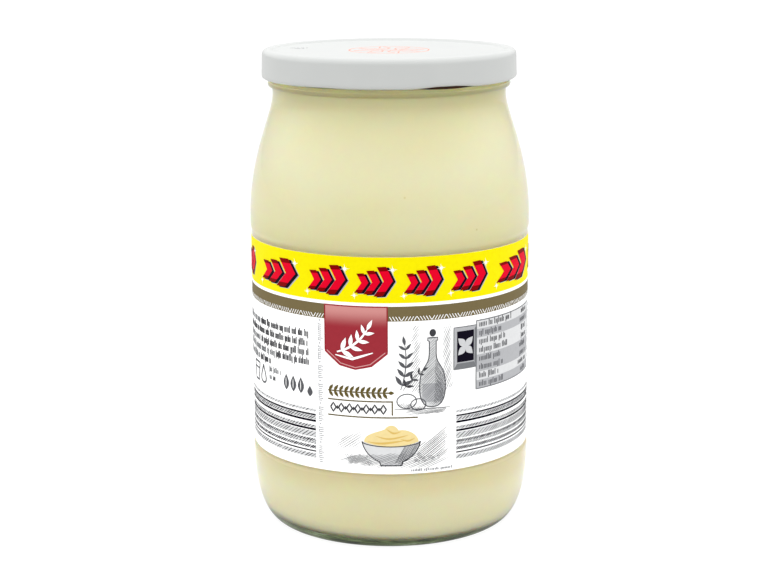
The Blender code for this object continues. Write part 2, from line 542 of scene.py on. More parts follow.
GLASS_ABSORPTION = (0.50, 0.86, 0.42, 1.0)
GLASS_DENSITY = 3.6


def glass_material():
    """Clear glass with painted shade: yellower and darker at the neck and by the label, and dark green in
    the streaky foot, its own green deepened by painted shade from under the jar.
    """
    shader = Shader("clear_glass", Roughness=0.012, IOR=1.52, Transmission_Weight=1.0)
    parts = shader.node("ShaderNodeSeparateXYZ", {"Vector": shader.place})
    height = parts.outputs["Z"]
    fade = {"Value": height, "From Max": LEAN_HEIGHT, "To Min": FLOOR_LEAN, "To Max": 0.0}
    slope = shader.node("ShaderNodeMapRange", fade).outputs[0]
    level = shader.calculate("MULTIPLY_ADD", parts.outputs["X"], slope, height)
    stops = [(level_mm * MM / RIM_HEIGHT, (*tone, 1.0)) for level_mm, tone in GLASS_TINTS_AND_SHADE]
    tint_and_shade = shader.ramp(shader.share(level, 0.0, RIM_HEIGHT), stops)
    streaks = [(position, (*tone, 1.0)) for position, tone in FOOT_GREEN_AND_SHADE_TONES]
    foot = shader.ramp(shader.noise(90, 4.0, 0.65, stretch=(1.0, 1.0, 7.0)), streaks)
    body_share = shader.share(level, FOOT_BAND, FOOT_BAND + FOOT_EDGE)
    shader.link(shader.mix(body_share, foot, tint_and_shade), "Base Color")
    clearness = {"Value": body_share, "To Min": FOOT_CLEARNESS}
    shader.link(shader.node("ShaderNodeMapRange", clearness).outputs[0], "Transmission Weight")
    shader.bump(shader.noise(55, 2.0, stretch=(1.0, 1.0, 0.45)), 0.04 * MM, 0.5)
    absorption = {"Color": GLASS_ABSORPTION, "Density": GLASS_DENSITY}
    volume = shader.node("ShaderNodeVolumeAbsorption", absorption)
    shader.tree.links.new(volume.outputs["Volume"], shader.output.inputs["Volume"])
    return shader.material


# The filling's wavy shaded band below the label
WAVE_REACH = 18 * MM
WAVE_LOW = 26 * MM
WAVE_HIGH = 33 * MM
WAVE_FADE_LOW = 32 * MM
WAVE_FADE_HIGH = 40 * MM


def mayonnaise_material():
    shader = Shader(
        "mayonnaise",
        Roughness=0.42,
        IOR=1.45,
        Specular_IOR_Level=0.08,
        Subsurface_Weight=1.0,
        Subsurface_Radius=(1.0, 0.75, 0.35),
        Subsurface_Scale=5.0 * MM,
    )
    pale = linear(255, 244, 213)
    deep = linear(254, 242, 207)
    shaded = linear(249, 238, 203)
    body = shader.ramp(shader.noise(28, 2.0, stretch=(1.0, 1.0, 1.6)), ((0.35, deep), (0.65, pale)))
    height = shader.node("ShaderNodeSeparateXYZ", {"Vector": shader.place}).outputs["Z"]
    waves = shader.noise(22, 1.0, stretch=(1.0, 1.0, 0.3))
    level = shader.calculate("MULTIPLY_ADD", waves, WAVE_REACH, height)
    wave = shader.share(level, WAVE_LOW, WAVE_HIGH, "SMOOTHSTEP")
    below_label = shader.share(height, WAVE_FADE_HIGH, WAVE_FADE_LOW)
    body = shader.mix(shader.calculate("MULTIPLY", wave, below_label), body, shaded)
    mask = shader.specks(130, 0.035, 0.06, 70, 0.62, 0.66)
    shader.link(shader.mix(mask, body, linear(240, 226, 176)), "Base Color")
    return shader.material


def enamel_material():
    shader = Shader("white_enamel", Roughness=0.3, IOR=1.5)
    tone = shader.uneven(40, 3.0, linear(175, 177, 176), linear(179, 181, 179))
    mask = shader.specks(95, 0.02, 0.032, 60, 0.66, 0.68)
    shader.link(shader.mix(mask, tone, linear(120, 112, 100)), "Base Color")
    shader.bump(shader.noise(900, 2.0), 0.02 * MM, 0.25)
    return shader.material


def gold_lacquer_material():
    """The lacquer inside the lid, which shows in the gaps over the lugs."""
    shader = Shader("gold_lacquer", Roughness=0.35, Metallic=0.6)
    shader.link(shader.uneven(300, 3.0, linear(138, 130, 84), linear(160, 150, 98)), "Base Color")
    return shader.material


# Near black-brown lug lacquer: the lacquer's colour with painted shade of the gap under the lid's edge
def shaded_lug_lacquer_material():
    shader = Shader("shaded_lug_lacquer", Roughness=0.45, Specular_IOR_Level=0.1)
    shader.link(shader.uneven(300, 3.0, linear(38, 22, 12), linear(58, 34, 16)), "Base Color")
    return shader.material


def paper_material():
    shader = Shader("coated_paper", Roughness=0.42, IOR=1.45)
    shader.link(shader.uneven(220, 4.0, linear(249, 249, 248), linear(254, 254, 254)), "Base Color")
    shader.bump(shader.noise(2600, 3.0), 0.01 * MM, 0.2)
    return shader.material


def printed(red, green, blue):
    """The base colour of an ink that is to show as this screen colour, without gloss and light."""
    shown = linear(red, green, blue)[:3]
    return (*(max(value - PRINT_GLOSS, 0.0) / STUDIO_LIGHT for value in shown), 1.0)


def ink_material(name, colour, fade=None):
    """Printed ink, a little uneven and with the paper's grain. It may fade to a colour higher up."""
    shader = Shader(name, Roughness=0.5, IOR=1.45, Specular_IOR_Level=0.04)
    darker = (*(0.96 * value for value in colour[:3]), 1.0)
    tone = shader.ramp(shader.noise(800, 4.0), ((0.32, darker), (0.6, colour)))
    if fade:
        low, high, top_colour = fade
        height = shader.node("ShaderNodeSeparateXYZ", {"Vector": shader.place}).outputs["Z"]
        tone = shader.mix(shader.share(height, low, high, "SMOOTHSTEP"), tone, top_colour)
    shader.link(tone, "Base Color")
    shader.bump(shader.noise(2600, 3.0), 0.01 * MM, 0.2)
    return shader.material


# The label: paper and print

def paper_rise(angle):
    """How far the paper's outer face stands out where its two ends overlap at the back."""
    turned_angle = (angle + math.pi) % TURN
    if turned_angle <= OVERLAP_ANGLE:
        return OVERLAP_RISE
    return OVERLAP_RISE * smooth((turned_angle - TURN + OVERLAP_RAMP) / OVERLAP_RAMP)


def wrap(u, h, lift):
    """A flat place on the label in millimetres, as a point on the wrapped paper."""
    angle = u / PAPER_RADIUS_MM
    radius = PAPER_RADIUS_MM * MM + paper_rise(angle) + lift
    return around(radius, angle + LABEL_FACING, LABEL_BOTTOM + h * MM)


def stations():
    """Angles at which the paper and every wide print are divided, so that they bend alike."""
    angles = [TURN * step / PAPER_STATIONS - math.pi for step in range(PAPER_STATIONS)]
    angles.append(OVERLAP_ANGLE - math.pi)
    angles.append(OVERLAP_ANGLE - math.pi + OVERLAP_EDGE)
    angles += [math.pi - OVERLAP_RAMP * share for share in (0.75, 0.5, 0.25)]
    return sorted(angles)


def divide(shape, outlines):
    """Cut filled shapes at the stations, so that they bend with the paper."""
    reach = [u for outline in outlines for u, _ in outline]
    for angle in stations():
        u = angle * PAPER_RADIUS_MM
        if min(reach) < u < max(reach):
            parts = shape.verts[:] + shape.edges[:] + shape.faces[:]
            bmesh.ops.bisect_plane(shape, geom=parts, dist=1e-5, plane_co=(u, 0, 0), plane_no=(1, 0, 0))


def flat(u, h):
    return (u, h, 0.0)


class Ink:
    """One ink's flat shapes: outlines to fill, and ribbons given by pairs of points."""

    def __init__(self, name, material, level):
        self.name = name
        self.material = material
        self.level = level
        self.fills = []
        self.ribbons = []

    def fill(self, outline):
        self.fills.append(outline)

    def box(self, u0, h0, u1, h1):
        self.fill([(u0, h0), (u1, h0), (u1, h1), (u0, h1)])

    def disc(self, u, h, ru, rh, steps):
        self.fill(ellipse(u, h, ru, rh, steps, 0, steps))

    def border(self, u0, h0, u1, h1, width):
        self.line([(u0, h0), (u1, h0), (u1, h1), (u0, h1), (u0, h0)], width)

    def line(self, points, width, taper=0.0, spacing=1.5):
        """A ribbon along points, divided so that it bends with the paper."""
        dense = [points[0]]
        for start, end in zip(points, points[1:]):
            length = math.hypot(end[0] - start[0], end[1] - start[1])
            dense += straight(start, end, max(1, math.ceil(length / spacing))) + [end]
        self.ribbons.append(ribbon(dense, width, taper))

    def piece(self):
        shape = bmesh.new()
        for outline in self.fills:
            places = [Vector(flat(u, h)) for u, h in outline]
            corners = [shape.verts.new(place) for place in places]
            for triangle in tessellate_polygon([places]):
                shape.faces.new([corners[index] for index in triangle])
        if self.fills:
            divide(shape, self.fills)
        for pairs in self.ribbons:
            add_ribbon(shape, pairs, flat)
        for face in shape.faces:
            face.normal_update()
            if face.normal.z < 0:
                face.normal_flip()
        thicken(shape, INK_THICKNESS)
        lift = self.level * INK_STEP
        for vertex in shape.verts:
            vertex.co = wrap(vertex.co.x, vertex.co.y, lift + vertex.co.z)
        made = finish_mesh(self.name, shape)
        made.data.materials.append(self.material)
        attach(made, "root")


def label_paper():
    """A closed sleeve of paper whose outer face steps out over its overlap."""
    shape = bmesh.new()
    loops = []
    inner = PAPER_RADIUS_MM * MM - PAPER_THICKNESS
    low = Vector((0.0, 0.0, LABEL_BOTTOM))
    high = Vector((0.0, 0.0, LABEL_HIGH.z))
    for angle in stations():
        out = around(1.0, angle + LABEL_FACING, 0.0)
        outer = PAPER_RADIUS_MM * MM + paper_rise(angle)
        corners = (out * inner + low, out * outer + low, out * outer + high, out * inner + high)
        loops.append([shape.verts.new(corner) for corner in corners])
    add_sweep(shape, loops + loops[:1])
    bmesh.ops.recalc_face_normals(shape, faces=shape.faces)
    paper = finish_mesh("label_paper", shape)
    paper.data.materials.append(paper_material())
    return paper


# Print plan: the label's front centre is u = 0, its lower edge is h = 0

YELLOW_BOTTOM = 57.2
BROWN_TOP = 56.1
BROWN_BOTTOM = 51.2
MARK_WIDTH = 12.8
FRONT_MARKS = ((-41.4, 19.6), (-20.0, 14.2), (-3.9, 12.9), (12.0, 12.8), (28.4, 14.2), (51.6, 23.0))
MARKS_START = -57.0
MARKS_END = 65.5
BACK_MARK_COUNT = 11
MARK_RISE = 1.9
MARK_CHEVRONS = ((2.4, 6.3, 2.3, 1.9), (5.9, 7.7, 2.5, 2.3), (9.6, 9.6, 2.9, 2.7))
MARK_SIDE_SHARE = 0.3
DASH_COUNT = 300
DASH_GROUP = 5
DASH_LEAN = 0.42
DASH_WIDTH = 0.22
DASH_LOW = 0.25
DASH_HIGH = 1.6
STRIPES_HIGH = 20.2


# Inks in the order of their pieces: the name, the level above the paper and the colour as shown
INKS = (
    ("yellow", 1, (255, 242, 0)),
    ("brown", 1, (124, 111, 79)),
    ("tab", 2, (164, 57, 66)),
    ("pale_grey", 1, (230, 231, 232)),
    ("mid_grey", 2, (188, 189, 192)),
    ("pencil", 3, (128, 130, 133)),
    ("dark_grey", 3, (72, 72, 76)),
    ("black", 3, (30, 28, 38)),
    ("olive", 3, (106, 94, 56)),
    ("red", 4, (237, 22, 50)),
    ("dark_red", 5, (138, 0, 20)),
    ("slate", 3, (96, 97, 101)),
    ("rosette", 4, (214, 215, 217)),
    ("cream", 2, (249, 227, 164)),
    ("cream_shade", 3, (232, 196, 112)),
    ("blush", 3, (222, 160, 160)),
    ("tab_edge", 3, (160, 50, 58)),
)
WHITE_LEVEL = 6
TAB_FADE_LOW = 48.6
TAB_FADE_HIGH = 55.2


def make_inks():
    tab_fade = (LABEL_BOTTOM + TAB_FADE_LOW * MM, LABEL_BOTTOM + TAB_FADE_HIGH * MM, printed(216, 150, 146))
    inks = {}
    for name, level, colour in INKS:
        material = ink_material("ink_" + name, printed(*colour), tab_fade if name == "tab" else None)
        inks[name] = Ink("print_" + name, material, level)
    inks["white"] = Ink("print_white", ink_material("ink_white", linear(250, 250, 249)), WHITE_LEVEL)
    return inks


def chevron(u, h, width, height, reach):
    """A thick chevron that points to the right, from its left middle notch."""
    return [
        (u - reach, h - height / 2),
        (u - reach + width, h - height / 2),
        (u + width, h),
        (u - reach + width, h + height / 2),
        (u - reach, h + height / 2),
        (u, h),
    ]


def rising_mark(inks, u, h, width):
    """Three slanted chevrons that grow to the right, with dark sides, a shadow and two sparkles."""
    stretch = width / MARK_WIDTH
    for place, height, thickness, reach in MARK_CHEVRONS:
        middle = h + 4.4 + 0.03 * place
        shape = chevron(place, 0.0, thickness, height, reach)
        face = [((u + stretch * (a + 0.12 * b)), middle + b + 0.06 * a) for a, b in shape]
        inks["mid_grey"].fill([(a + 1.15 * stretch, b - 0.4) for a, b in face])
        inks["black"].fill([(a + 0.85 * stretch, b - 0.25) for a, b in face])
        inks["red"].fill(face)
        for outer, other in ((face[1], face[0]), (face[3], face[4])):
            back = between(other, face[5], MARK_SIDE_SHARE)
            front = between(outer, face[2], MARK_SIDE_SHARE)
            inks["dark_red"].fill([outer, other, back, front])
    sparkle(inks, u + width - 0.4 * stretch, h + 9.0, 1.6)
    sparkle(inks, u + 0.1, h + 0.5, 1.3)


def sparkle(inks, u, h, size):
    points = []
    for step in range(16):
        reach = (size, 0.22 * size, 0.55 * size, 0.22 * size)[step % 4]
        angle = TURN * step / 16 + 0.1
        points.append((u + reach * math.cos(angle), h + reach * math.sin(angle)))
    inks["white"].fill(points)


def bands(inks):
    half = HALF_ROUND_MM
    inks["yellow"].box(-half, YELLOW_BOTTOM, half, LABEL_HEIGHT_MM)
    inks["brown"].box(-half, BROWN_BOTTOM, half, BROWN_TOP)
    for centre, width in FRONT_MARKS:
        rising_mark(inks, centre - width / 2, YELLOW_BOTTOM + MARK_RISE, width)
    pitch = (2 * half - MARKS_END + MARKS_START) / BACK_MARK_COUNT
    for index in range(BACK_MARK_COUNT):
        centre = MARKS_END + pitch * (index + 0.53)
        if centre + MARK_WIDTH / 2 + 2.0 > half:
            centre -= 2 * half
        rising_mark(inks, centre - MARK_WIDTH / 2, YELLOW_BOTTOM + MARK_RISE, MARK_WIDTH)
    dash_pitch = 2 * half / DASH_COUNT
    for index in range(DASH_COUNT):
        u = -half + dash_pitch * (index + 0.5)
        if tab_covers(u):
            continue
        lean = DASH_LEAN if (index // DASH_GROUP) % 2 else -DASH_LEAN
        ends = [(u - lean, BROWN_BOTTOM + DASH_LOW), (u + lean, BROWN_BOTTOM + DASH_HIGH)]
        inks["white"].line(ends, DASH_WIDTH)


TAB_CENTRE = -10.1
TAB_HALF_WIDTH = 10.6
TAB_TOP = 56.15
TAB_BOTTOM = 35.2
TAB_CORNER = 5.2


def tab_covers(u):
    return abs(u - TAB_CENTRE) < TAB_HALF_WIDTH + 0.2


def tab_outline(inset):
    """A hanging tab with cut corners and a shallow point, like a simple bookmark."""
    half = TAB_HALF_WIDTH - inset
    low = TAB_BOTTOM + inset
    corner = TAB_CORNER - 0.4 * inset
    return [
        (TAB_CENTRE - half, TAB_TOP),
        (TAB_CENTRE - half, low + corner),
        (TAB_CENTRE - half + corner, low + 0.9),
        (TAB_CENTRE, low - 0.3),
        (TAB_CENTRE + half - corner, low + 0.9),
        (TAB_CENTRE + half, low + corner),
        (TAB_CENTRE + half, TAB_TOP),
    ]


def leaf(ink, root, angle, length, width):
    """A pointed leaf from its root point."""
    outline = []
    along = (math.cos(angle), math.sin(angle))
    across = (-along[1], along[0])
    for side in (1, -1):
        for step in range(1, 9):
            t = step / 8 if side == 1 else 1 - step / 8
            bulge = side * width / 2 * math.sin(math.pi * t) * (1.15 - 0.5 * t)
            u = root[0] + along[0] * length * t + across[0] * bulge
            h = root[1] + along[1] * length * t + across[1] * bulge
            outline.append((u, h))
    ink.fill(outline)


def sprig(ink, root, angle, length, leaves, leaf_length, bend, thickness):
    """A bent stem with paired leaves and one at its tip."""
    points = []
    heading = angle
    place = root
    for _ in range(leaves * 2 + 1):
        points.append((place, heading))
        step = length / (leaves * 2)
        place = (place[0] + step * math.cos(heading), place[1] + step * math.sin(heading))
        heading += bend / (leaves * 2)
    ink.line([place for place, _ in points], thickness, taper=0.4)
    for index in range(1, leaves * 2, 2):
        place, heading = points[index]
        size = leaf_length * (1 - 0.35 * index / (leaves * 2))
        leaf(ink, place, heading + 0.85, size, size * 0.36)
        leaf(ink, place, heading - 0.85, size, size * 0.36)
    leaf(ink, points[-1][0], points[-1][1], leaf_length * 0.8, leaf_length * 0.28)


def tab(inks):
    inks["tab"].fill(tab_outline(0.0))
    inks["blush"].line(tab_outline(0.8)[1:6], 0.3)
    for side in (-1, 1):
        u = TAB_CENTRE + side * TAB_HALF_WIDTH - side * 0.15
        inks["tab_edge"].line([(u, TAB_TOP), (u, 41.0)], 0.4)
    top = TAB_TOP - 0.2
    inks["tab_edge"].line([(TAB_CENTRE - TAB_HALF_WIDTH, top), (TAB_CENTRE + TAB_HALF_WIDTH, top)], 0.4)
    sprig(inks["white"], (TAB_CENTRE - 6.2, 40.6), 0.3, 13.0, 4, 4.9, bend=0.8, thickness=0.75)
    sweep = [(TAB_CENTRE - 6.8, 39.6), (TAB_CENTRE - 1.0, 38.5), (TAB_CENTRE + 5.8, 40.8)]
    inks["white"].line(sweep, 0.8, taper=0.7)


def hatch(ink, outline, angle, pitch, width, rng, ragged=0.6):
    """Parallel strokes clipped to an outline, with uneven ends, places and weights."""
    along = (math.cos(angle), math.sin(angle))
    across = (-along[1], along[0])
    offsets = [u * across[0] + h * across[1] for u, h in outline]
    offset = min(offsets) + pitch / 2
    while offset < max(offsets):
        cuts = []
        for start, end in zip(outline, outline[1:] + outline[:1]):
            a = start[0] * across[0] + start[1] * across[1] - offset
            b = end[0] * across[0] + end[1] * across[1] - offset
            if (a < 0) != (b < 0):
                u, h = between(start, end, a / (a - b))
                cuts.append(u * along[0] + h * along[1])
        cuts.sort()
        for first, second in zip(cuts[::2], cuts[1::2]):
            first += rng.uniform(-0.1, ragged)
            second -= rng.uniform(-0.1, ragged)
            if second - first > 0.3:
                u, h = (across[0] * offset, across[1] * offset)
                ends = [(u + along[0] * reach, h + along[1] * reach) for reach in (first, second)]
                ink.line(ends, width * rng.uniform(0.7, 1.2), taper=0.5, spacing=1.6)
        offset += pitch * rng.uniform(0.8, 1.2)


def fine_print(ink, u0, u1, h, height, rng, width=0.28, pitch=0.52):
    """A line of unreadable print: short upright strokes in groups."""
    u = u0
    while u < u1:
        for _ in range(rng.randint(3, 9)):
            if u >= u1:
                break
            tall = rng.random() < 0.25
            top = height * (1.0 if tall else 0.72)
            foot = -0.25 * height if rng.random() < 0.1 else 0.0
            ink.line([(u, h + foot), (u, h + top)], width)
            u += pitch * rng.uniform(0.85, 1.25)
        u += pitch * 1.2


def paragraph(inks, u0, u1, top, lines, pitch, height, seed):
    rng = random.Random(seed)
    for index in range(lines):
        end = (u1 if index < lines - 1 else u0 + (u1 - u0) * 0.55) - rng.uniform(0, 3.0)
        split = u0 + (end - u0) * rng.choice((0.0, 0.35, 0.6, 1.0))
        fine_print(inks["pencil"], u0, split, top - pitch * index, height, rng)
        fine_print(inks["dark_grey"], split + 1.0, end, top - pitch * index, height, rng, width=0.36)


# Bands of the striped blocks from the top down: the gap above, the height and the kind
STRIPE_BANDS = (
    (0.0, 0.85, "light"),
    (0.7, 0.7, "line"),
    (0.05, 1.2, "middle"),
    (0.1, 0.85, "line"),
    (1.0, 0.95, "middle"),
    (0.1, 0.85, "line"),
    (0.2, 2.1, "light"),
    (0.45, 0.95, "heavy"),
    (0.1, 0.75, "middle"),
    (0.5, 1.1, "heavy"),
    (0.55, 0.6, "line"),
    (0.5, 1.5, "light"),
)
HATCH_PITCH = {"light": 0.85, "middle": 0.75, "heavy": 0.6}
HATCH_WIDTH = {"light": 0.26, "middle": 0.34, "heavy": 0.42}


def stripes(inks, u0, u1, seed):
    """A block of level lines and hatched bands, as on a striped cloth."""
    rng = random.Random(seed)
    top = STRIPES_HIGH
    for gap, height, kind in STRIPE_BANDS:
        top -= gap
        low = top - height
        if kind == "line":
            inks["black"].box(u0, low + 0.08, u1, top - 0.08)
        else:
            inks["pale_grey"].box(u0, low, u1, top)
            outline = [(u0, low), (u1, low), (u1, top), (u0, top)]
            ink = inks["black"] if kind == "heavy" else inks["dark_grey"]
            hatch(ink, outline, 0.6, HATCH_PITCH[kind], HATCH_WIDTH[kind], rng, ragged=0.1)
        top = low


def ornament_row(ink, u0, u1, h, height):
    """A garland of leaves that stand in pairs on a straight stem."""
    middle = h + height / 2
    ink.line([(u0, middle), (u1, middle)], 0.42)
    count = 11
    pitch = (u1 - u0 - 1.6) / count
    for index in range(count):
        u = u0 + pitch * index + 0.3
        leaf(ink, (u, middle), 0.95, height * 0.66, 1.15)
        leaf(ink, (u, middle), -0.95, height * 0.66, 1.15)
    leaf(ink, (u1 - 1.4, middle), 0.0, 2.0, 1.3)


def lozenge(u, h, half_width, half_height):
    return [(u - half_width, h), (u, h + half_height), (u + half_width, h), (u, h - half_height)]


def lozenge_row(ink, u0, u1, h, height):
    """A row of hollow lozenges with small solid ones between."""
    middle = h + height / 2
    count = 7
    pitch = (u1 - u0) / count
    for index in range(count):
        u = u0 + pitch * (index + 0.5)
        corners = lozenge(u, middle, 0.95, height / 2)
        ink.line(corners + corners[:1], 0.5)
        if index < count - 1:
            ink.fill(lozenge(u + pitch / 2, middle, 0.5, -0.75))


def olive_block(inks):
    """The garland, the lozenges and the thin rules round them."""
    ornament_row(inks["olive"], -19.6, 2.0, 25.5, 3.9)
    inks["olive"].line([(-19.7, 24.5), (1.9, 24.5)], 0.42)
    inks["olive"].line([(1.9, 24.7), (1.9, 19.9)], 0.4)
    lozenge_row(inks["dark_grey"], -19.2, 0.4, 20.4, 3.0)
    inks["olive"].line([(-19.7, 19.2), (10.2, 19.1)], 0.42)


def mirrored(points, centre):
    return points + [(2 * centre - u, h) for u, h in reversed(points)]


def still_life(inks):
    """A pencil drawing of an oil bottle, two eggs and a leafy stem on a table."""
    rng = random.Random(23)
    pencil = inks["pencil"]
    slate = inks["slate"]
    centre = 15.2
    half = bezier(((0.0, 22.3), (5.3, 22.0), (4.6, 30.0), (4.0, 33.0)), 8)
    half += bezier(((4.0, 33.0), (3.0, 36.5), (1.3, 36.5), (1.15, 40.0)), 6)[1:]
    half += [(1.15, 44.2), (1.7, 44.5), (1.7, 45.4)]
    right = [(centre + u, h) for u, h in half]
    outline = mirrored(right, centre)
    inks["pale_grey"].fill(outline)
    for left, angle in ((7.6, 0.95), (18.2, 1.15)):
        shade = [(left, 27.5), (left + 4.2, 26.5), (left + 3.4, 50.0), (left + 0.6, 50.4)]
        hatch(pencil, shade, angle, 0.62, 0.17, rng, ragged=1.6)
    slate.line(outline, 0.36)
    hatch(slate, [(centre + 0.4, 23.0)] + right[2:-2] + [(centre + 0.9, 42.5)], 1.2, 0.46, 0.2, rng)
    hatch(pencil, outline[:-4], 0.75, 0.6, 0.16, rng)
    oil = [(centre - 3.6, 24.0), (centre + 3.6, 24.0), (centre + 3.4, 30.2), (centre - 3.4, 30.2)]
    inks["mid_grey"].fill(oil)
    inks["dark_grey"].disc(centre, 47.0, 1.1, 1.25, 18)
    for u, h, ru, rh in ((6.6, 24.6, 3.2, 2.4), (10.4, 23.4, 2.5, 1.9)):
        ring = ellipse(u, h, ru, rh, 24, 0, 25)
        slate.line(ring, 0.32)
        crescent = ring[13:24] + [(u + 0.35 * ru, h - 0.35 * rh)]
        hatch(slate, crescent, 0.9, 0.42, 0.2, rng, ragged=0.3)
    sprig(slate, (4.6, 28.4), 1.25, 15.0, 5, 4.2, bend=0.5, thickness=0.34)
    sprig(inks["dark_grey"], (5.4, 28.2), 1.0, 9.0, 3, 3.0, bend=-0.5, thickness=0.2)
    slate.line([(2.6, 22.0), (21.4, 21.7)], 0.28, taper=0.6)
    hatch(slate, [(4.0, 21.9), (20.5, 21.7), (21.5, 19.7), (7.0, 20.0)], 0.12, 0.42, 0.18, rng, ragged=2.2)


def bowl_of_cream(inks):
    """A pencil drawing of a shallow bowl heaped with cream, over crossed hatching."""
    rng = random.Random(31)
    pencil = inks["pencil"]
    slate = inks["slate"]
    dark = inks["dark_grey"]
    centre = 1.5
    rim = 9.6
    shadow = [(-17.0, 4.0), (-6.0, 2.2), (14.0, 1.8), (21.0, 4.5), (12.0, 7.5), (-9.0, 7.0)]
    hatch(pencil, shadow, 0.35, 0.52, 0.18, rng, 2.0)
    hatch(slate, [(8.0, 3.0), (20.5, 5.0), (20.5, 15.5), (10.0, 9.0)], 0.62, 0.62, 0.2, rng, 1.5)
    hatch(slate, [(-13.0, 2.8), (-4.0, 2.4), (-6.0, 6.5), (-14.5, 7.0)], 0.95, 0.5, 0.18, rng, 1.2)
    hatch(pencil, [(-18.0, 8.0), (-8.0, 8.0), (-8.0, 14.5), (-15.0, 12.0)], 0.62, 0.7, 0.16, rng, 1.5)
    profile = bezier(((rim, 11.0), (8.6, 6.0), (4.4, 4.6), (3.8, 4.2)), 8) + [(3.4, 2.9)]
    right = [(centre + u, h) for u, h in profile]
    body = mirrored(right, centre)
    left = body[len(right):]
    inks["pale_grey"].fill(body)
    dark.line(right, 0.4)
    dark.line(left, 0.32)
    dark.line([right[-1], left[0]], 0.4)
    hatch(slate, right + [(centre + 1.0, 3.4), (centre + 4.5, 9.6)], 1.05, 0.42, 0.2, rng)
    cream = bezier(((-8.9, 10.9), (-9.0, 13.6), (-4.6, 14.2), (-2.2, 15.2)), 8)
    cream += bezier(((-2.2, 15.2), (-0.6, 17.4), (1.6, 16.6), (2.4, 14.9)), 8)[1:]
    cream += bezier(((2.4, 14.9), (5.4, 15.4), (8.8, 13.4), (9.0, 10.9)), 8)[1:]
    cream += bezier(((9.0, 10.9), (4.5, 8.9), (-4.5, 8.9), (-8.9, 10.9)), 10)[1:-1]
    inks["cream"].fill([(centre + u, h) for u, h in cream])
    for start, middle, end, width in (
        ((-7.6, 11.0), (-3.6, 10.2), (4.6, 11.4), 0.7),
        ((-5.2, 13.0), (-0.8, 11.6), (5.6, 13.2), 0.55),
        ((-1.6, 15.4), (0.6, 13.6), (3.2, 14.4), 0.6),
        ((3.0, 11.9), (5.6, 11.0), (7.8, 12.2), 0.6),
    ):
        curve = bezier((start, middle, middle, end), 10)
        inks["cream_shade"].line([(centre + u, h) for u, h in curve], width, taper=0.9)
    dark.line(ellipse(centre, 11.0, rim, 1.7, 40, 20, 41), 0.3)


def side_column(inks):
    """A faint upright row of small marks at the panel's edge, in groups between dots."""
    rng = random.Random(19)
    h = 2.6
    left = -23.2
    while h < 50.0:
        for _ in range(rng.randint(7, 9)):
            reach = rng.choice((1.25, 1.25, 1.25, 1.8))
            inks["mid_grey"].line([(left, h), (left + reach, h)], 0.3)
            if rng.random() < 0.5:
                inks["mid_grey"].line([(left + 0.1, h), (left + 0.1, h + 0.62)], 0.25)
            h += 0.66
        inks["mid_grey"].disc(left + 0.6, h + 0.7, 0.3, 0.3, 10)
        h += 1.7


def tile(inks):
    """A bevelled frame round a dark panel with a pale four-leaf rosette."""
    u0, u1, h0, h1 = 22.6, 31.4, 33.9, 47.9
    inks["mid_grey"].box(u0, h0, u1, h1)
    inks["pencil"].fill([(u0, h0), (u1, h0), (u1 - 1.0, h0 + 1.9), (u0 + 1.2, h0 + 1.9)])
    inks["pencil"].fill([(u1, h0), (u1, h1), (u1 - 0.8, h1 - 1.2), (u1 - 0.8, h0 + 1.9)])
    inks["pencil"].border(u0, h0, u1, h1, 0.3)
    inks["black"].box(u0 + 1.2, h0 + 2.3, u1 - 1.1, h1 - 1.4)
    centre = ((u0 + u1) / 2, (h0 + h1) / 2 + 0.5)
    for quarter in range(4):
        leaf(inks["rosette"], centre, math.pi / 4 + quarter * math.pi / 2, 4.0, 2.6)


TABLE_ROW_COUNT = 8
TABLE_SHADED_ROWS = (1, 4, 5, 7)
TABLE_LONG_ROWS = (0, 3)


def facts_table(inks, u0, h0, u1, h1, seed):
    """A framed table of shaded rows, with unreadable print at both ends of each row."""
    rng = random.Random(seed)
    step = (h1 - h0) / TABLE_ROW_COUNT
    inks["pale_grey"].box(u0, h0, u1, h1)
    for row in range(TABLE_ROW_COUNT):
        high = h1 - step * row
        if row in TABLE_SHADED_ROWS:
            inks["mid_grey"].box(u0 + 0.2, high - step, u1 - 0.2, high)
        name_length = rng.uniform(9, 14) * (1.6 if row in TABLE_LONG_ROWS else 1.0)
        ink = inks["dark_grey"] if row == 0 else inks["slate"]
        foot = high - step * 0.76
        fine_print(ink, u0 + 1.5, u0 + name_length, foot, step * 0.68, rng, width=0.34, pitch=0.62)
        amount = u1 - rng.uniform(8.5, 12.5)
        fine_print(ink, amount, u1 - 3.6, foot, step * 0.62, rng, width=0.4, pitch=0.72)
    inks["pencil"].border(u0, h0, u1, h1, 0.35)


def drop_and_glass(inks, u, h):
    """Two small outline pictures: a tumbler and a drop."""
    pencil = inks["slate"]
    pencil.line([(u, h + 6.2), (u + 1.0, h), (u + 4.6, h), (u + 5.6, h + 6.2), (u, h + 6.2)], 0.62)
    pencil.line([(u + 0.4, h + 4.1), (u + 5.2, h + 4.1)], 0.5)
    side = bezier(((u + 9.2, h + 6.4), (u + 9.9, h + 4.4), (u + 13.4, h + 0.6), (u + 9.2, h + 0.2)), 8)
    pencil.line(mirrored(side, u + 9.2), 0.62)


def grains(inks, u, h):
    """Three upright grains with a pale line down each, and a small plain one."""
    size = 5.4
    for place in (0.0, 3.4, 6.8):
        leaf(inks["slate"], (u + place, h - size / 2), math.pi / 2, size, 2.9)
        inks["white"].line([(u + place, h - size * 0.3), (u + place, h + size * 0.3)], 0.3, taper=0.6)
    leaf(inks["slate"], (u + 10.6, h - 3.2), math.pi / 2, 3.6, 2.3)


def upright_bars(inks, u0, u1, h0, h1, seed):
    """A plain row of upright bars of uneven width."""
    rng = random.Random(seed)
    u = u0
    while u < u1:
        width = rng.choice((0.3, 0.3, 0.6, 0.9))
        inks["black"].box(u, h0, min(u + width, u1), h1)
        u += width + rng.choice((0.3, 0.6, 0.6, 0.9))


